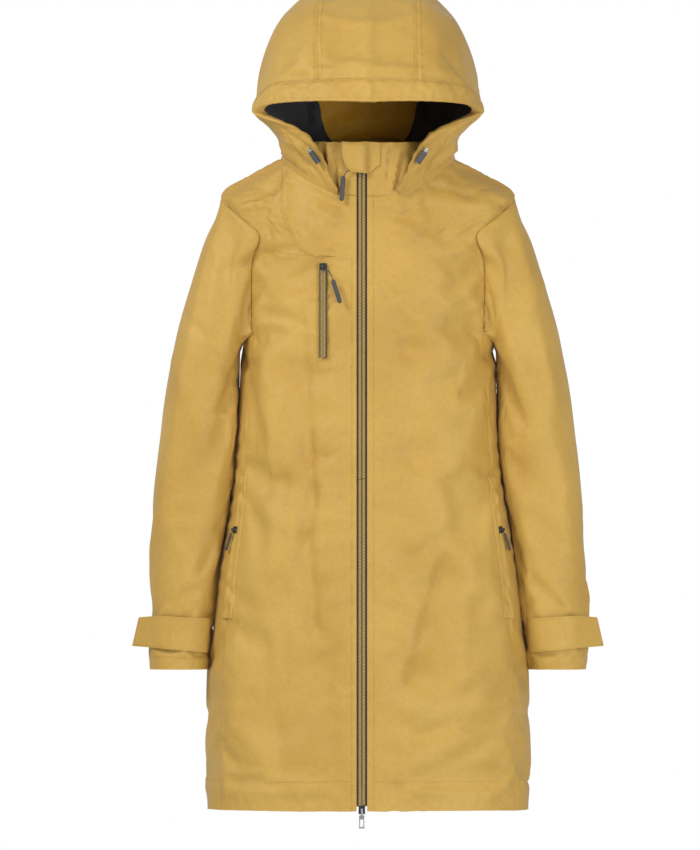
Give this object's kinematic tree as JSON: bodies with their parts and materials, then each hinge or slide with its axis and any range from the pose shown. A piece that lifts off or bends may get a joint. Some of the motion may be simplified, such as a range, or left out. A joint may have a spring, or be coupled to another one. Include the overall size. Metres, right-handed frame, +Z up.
{
  "type": "hooded raincoat",
  "caption": "Long hooded rain coat with a two-way front zip, chin guard, zipped chest and hand pockets, cuff tabs and a mesh-lined hood, in its worn shape.",
  "frame": {"origin": "where a hook bears, the middle of the underside of the hanger loop inside the back of the neck", "axes": "+Z up along the coat, from hem to hood; the front faces -Y; +X is towards the wearer's left"},
  "size_m": [0.6858, 0.304, 1.2195],
  "materials": {
    "shell": "coated plain weave, soft sheen, mustard yellow",
    "lining": "navy knitted mesh and taffeta",
    "zip": "moulded teeth on woven tape",
    "slider": "dark enamel",
    "pull_rubber": "matt grey grip on a dark cord",
    "metal": "brushed",
    "hook_tape": "hook and loop tape",
    "cord": "braided elastic cord",
    "lock_plastic": "moulded, satin"
  },
  "bodies": {
    "body": {"back_panel": "shell", "side_panel_left": "shell", "side_panel_right": "shell", "front_panel_left": "shell", "front_panel_right": "shell", "chest_yoke": "shell", "lining_back": "lining", "lining_upper": "lining", "chest_pocket_bag": "lining", "collar": "shell", "collar_lining": "shell", "hanger_loop": "shell", "chin_guard_base": "shell", "zip_upper_left": "zip", "zip_upper_right": "zip", "chest_zip": "zip", "pocket_zip_left": "zip", "pocket_zip_right": "zip", "cord_lock_left": "lock_plastic", "cord_lock_right": "lock_plastic"},
    "front_left": {"front_skirt_left": "shell", "lining_skirt_left": "lining", "zip_lower_left": "zip", "pocket_bag_left": "lining", "pocket_welt_left": "shell"},
    "front_right": {"front_skirt_right": "shell", "lining_skirt_right": "lining", "zip_lower_right": "zip", "pocket_bag_right": "lining", "pocket_welt_right": "shell"},
    "hood": {"hood_center": "shell", "hood_side_left": "shell", "hood_side_right": "shell", "hood_brim": "shell", "hood_mesh_left": "lining", "hood_mesh_right": "lining", "hood_drawcord": "cord"},
    "cord_button_left": {"cord_lock_button_left": "metal"},
    "cord_button_right": {"cord_lock_button_right": "metal"},
    "sleeve_left": {"sleeve_top_left": "shell", "sleeve_under_left": "shell", "sleeve_lining_left": "lining", "cuff_patch_left": "hook_tape"},
    "sleeve_right": {"sleeve_top_right": "shell", "sleeve_under_right": "shell", "sleeve_lining_right": "lining", "cuff_patch_right": "hook_tape"},
    "cuff_tab_left": {"cuff_tab_left": "shell"},
    "cuff_tab_right": {"cuff_tab_right": "shell"},
    "chin_guard": {"chin_guard": "shell"},
    "top_slider": {"zip_slider_top": "slider"},
    "top_pull": {"zip_pull_top": "pull_rubber"},
    "bottom_slider": {"zip_slider_bottom": "slider"},
    "bottom_pull": {"zip_pull_bottom": "metal"},
    "chest_slider": {"chest_slider": "slider"},
    "chest_pull": {"chest_pull": "pull_rubber"},
    "pocket_slider_left": {"pocket_slider_left": "slider"},
    "pocket_pull_left": {"pocket_pull_left": "pull_rubber"},
    "pocket_slider_right": {"pocket_slider_right": "slider"},
    "pocket_pull_right": {"pocket_pull_right": "pull_rubber"}
  },
  "joints": [
    {"name": "front_left_open", "type": "hinge", "parent": "body", "child": "front_left", "pos_m": [0.2044, -0.1342, -0.7], "axis": [-0.09, 0.0234, 0.9957], "range_deg": [0, 30]},
    {"name": "front_right_open", "type": "hinge", "parent": "body", "child": "front_right", "pos_m": [-0.2044, -0.1342, -0.7], "axis": [-0.09, -0.0234, -0.9957], "range_deg": [0, 30.01]},
    {"name": "zip_bottom_slide", "type": "slide", "parent": "body", "child": "bottom_slider", "axis": [0, 0.0496, 0.9988], "range_m": [0, 0.4802]},
    {"name": "zip_bottom_pull_swing", "type": "hinge", "parent": "bottom_slider", "child": "bottom_pull", "pos_m": [-0.009, -0.21718, -0.9327], "axis": [-1, 0, 0], "range_deg": [0, 120]},
    {"name": "zip_top_slide", "type": "slide", "parent": "body", "child": "top_slider", "axis": [0, 0.0496, 0.9988], "range_m": [-0.86, 0.024]},
    {"name": "zip_top_pull_swing", "type": "hinge", "parent": "top_slider", "child": "top_pull", "pos_m": [-0.009, -0.17115, -0.0067], "axis": [-1, 0, 0], "range_deg": [0, 120]},
    {"name": "chin_guard_open", "type": "hinge", "parent": "body", "child": "chin_guard", "pos_m": [-0.0035, -0.1756, 0.0005], "axis": [0, 0.0496, 0.9988], "range_deg": [0, 160]},
    {"name": "hood_back", "type": "hinge", "parent": "body", "child": "hood", "pos_m": [0, 0.014, 0.016], "axis": [-1, 0, 0], "range_deg": [0, 90]},
    {"name": "cord_lock_left_press", "type": "slide", "parent": "body", "child": "cord_button_left", "axis": [-0.5688, 0.0475, -0.8211], "range_m": [0, 0.0022], "stiffness_N_per_m": 300},
    {"name": "cord_lock_right_press", "type": "slide", "parent": "body", "child": "cord_button_right", "axis": [0.5688, 0.0475, -0.8211], "range_m": [0, 0.0022], "stiffness_N_per_m": 300},
    {"name": "sleeve_left_lift", "type": "hinge", "parent": "body", "child": "sleeve_left", "pos_m": [0.2135, -0.075, -0.044], "axis": [0, -1, 0], "range_deg": [0, 50]},
    {"name": "sleeve_right_lift", "type": "hinge", "parent": "body", "child": "sleeve_right", "pos_m": [-0.2135, -0.075, -0.044], "axis": [0, 1, 0], "range_deg": [0, 50]},
    {"name": "cuff_tab_left_open", "type": "hinge", "parent": "sleeve_left", "child": "cuff_tab_left", "pos_m": [0.2319, -0.1027, -0.683], "axis": [0.0771, 0.0432, -0.9961], "range_deg": [0, 90]},
    {"name": "cuff_tab_right_open", "type": "hinge", "parent": "sleeve_right", "child": "cuff_tab_right", "pos_m": [-0.2319, -0.1027, -0.683], "axis": [0.0771, -0.0432, 0.9961], "range_deg": [0, 90]},
    {"name": "chest_zip_slide", "type": "slide", "parent": "body", "child": "chest_slider", "axis": [0, 0.0496, 0.9988], "range_m": [-0.122, 0]},
    {"name": "chest_pull_swing", "type": "hinge", "parent": "chest_slider", "child": "chest_pull", "pos_m": [-0.06595, -0.17833, -0.14763], "axis": [-0.9916, 0.1295, -0.0064], "range_deg": [0, 120]},
    {"name": "pocket_left_slide", "type": "slide", "parent": "body", "child": "pocket_slider_left", "axis": [-0.1359, 0.0213, 0.9905], "range_m": [-0.105, 0.075]},
    {"name": "pocket_left_pull_swing", "type": "hinge", "parent": "pocket_slider_left", "child": "pocket_pull_left", "pos_m": [0.19398, -0.13126, -0.52874], "axis": [-0.5242, -0.8499, -0.0537], "range_deg": [0, 120]},
    {"name": "pocket_right_slide", "type": "slide", "parent": "body", "child": "pocket_slider_right", "axis": [0.1359, 0.0213, 0.9905], "range_m": [-0.105, 0.075]},
    {"name": "pocket_right_pull_swing", "type": "hinge", "parent": "pocket_slider_right", "child": "pocket_pull_right", "pos_m": [-0.19398, -0.13126, -0.52874], "axis": [-0.5242, 0.8499, 0.0537], "range_deg": [0, 120]}
  ],
  "couplings": [
    {"joint": "front_right_open", "follows": "front_left_open", "ratio": 1},
    {"joint": "zip_bottom_slide", "follows": "front_left_open", "m_per_rad": 0.9167}
  ]
}
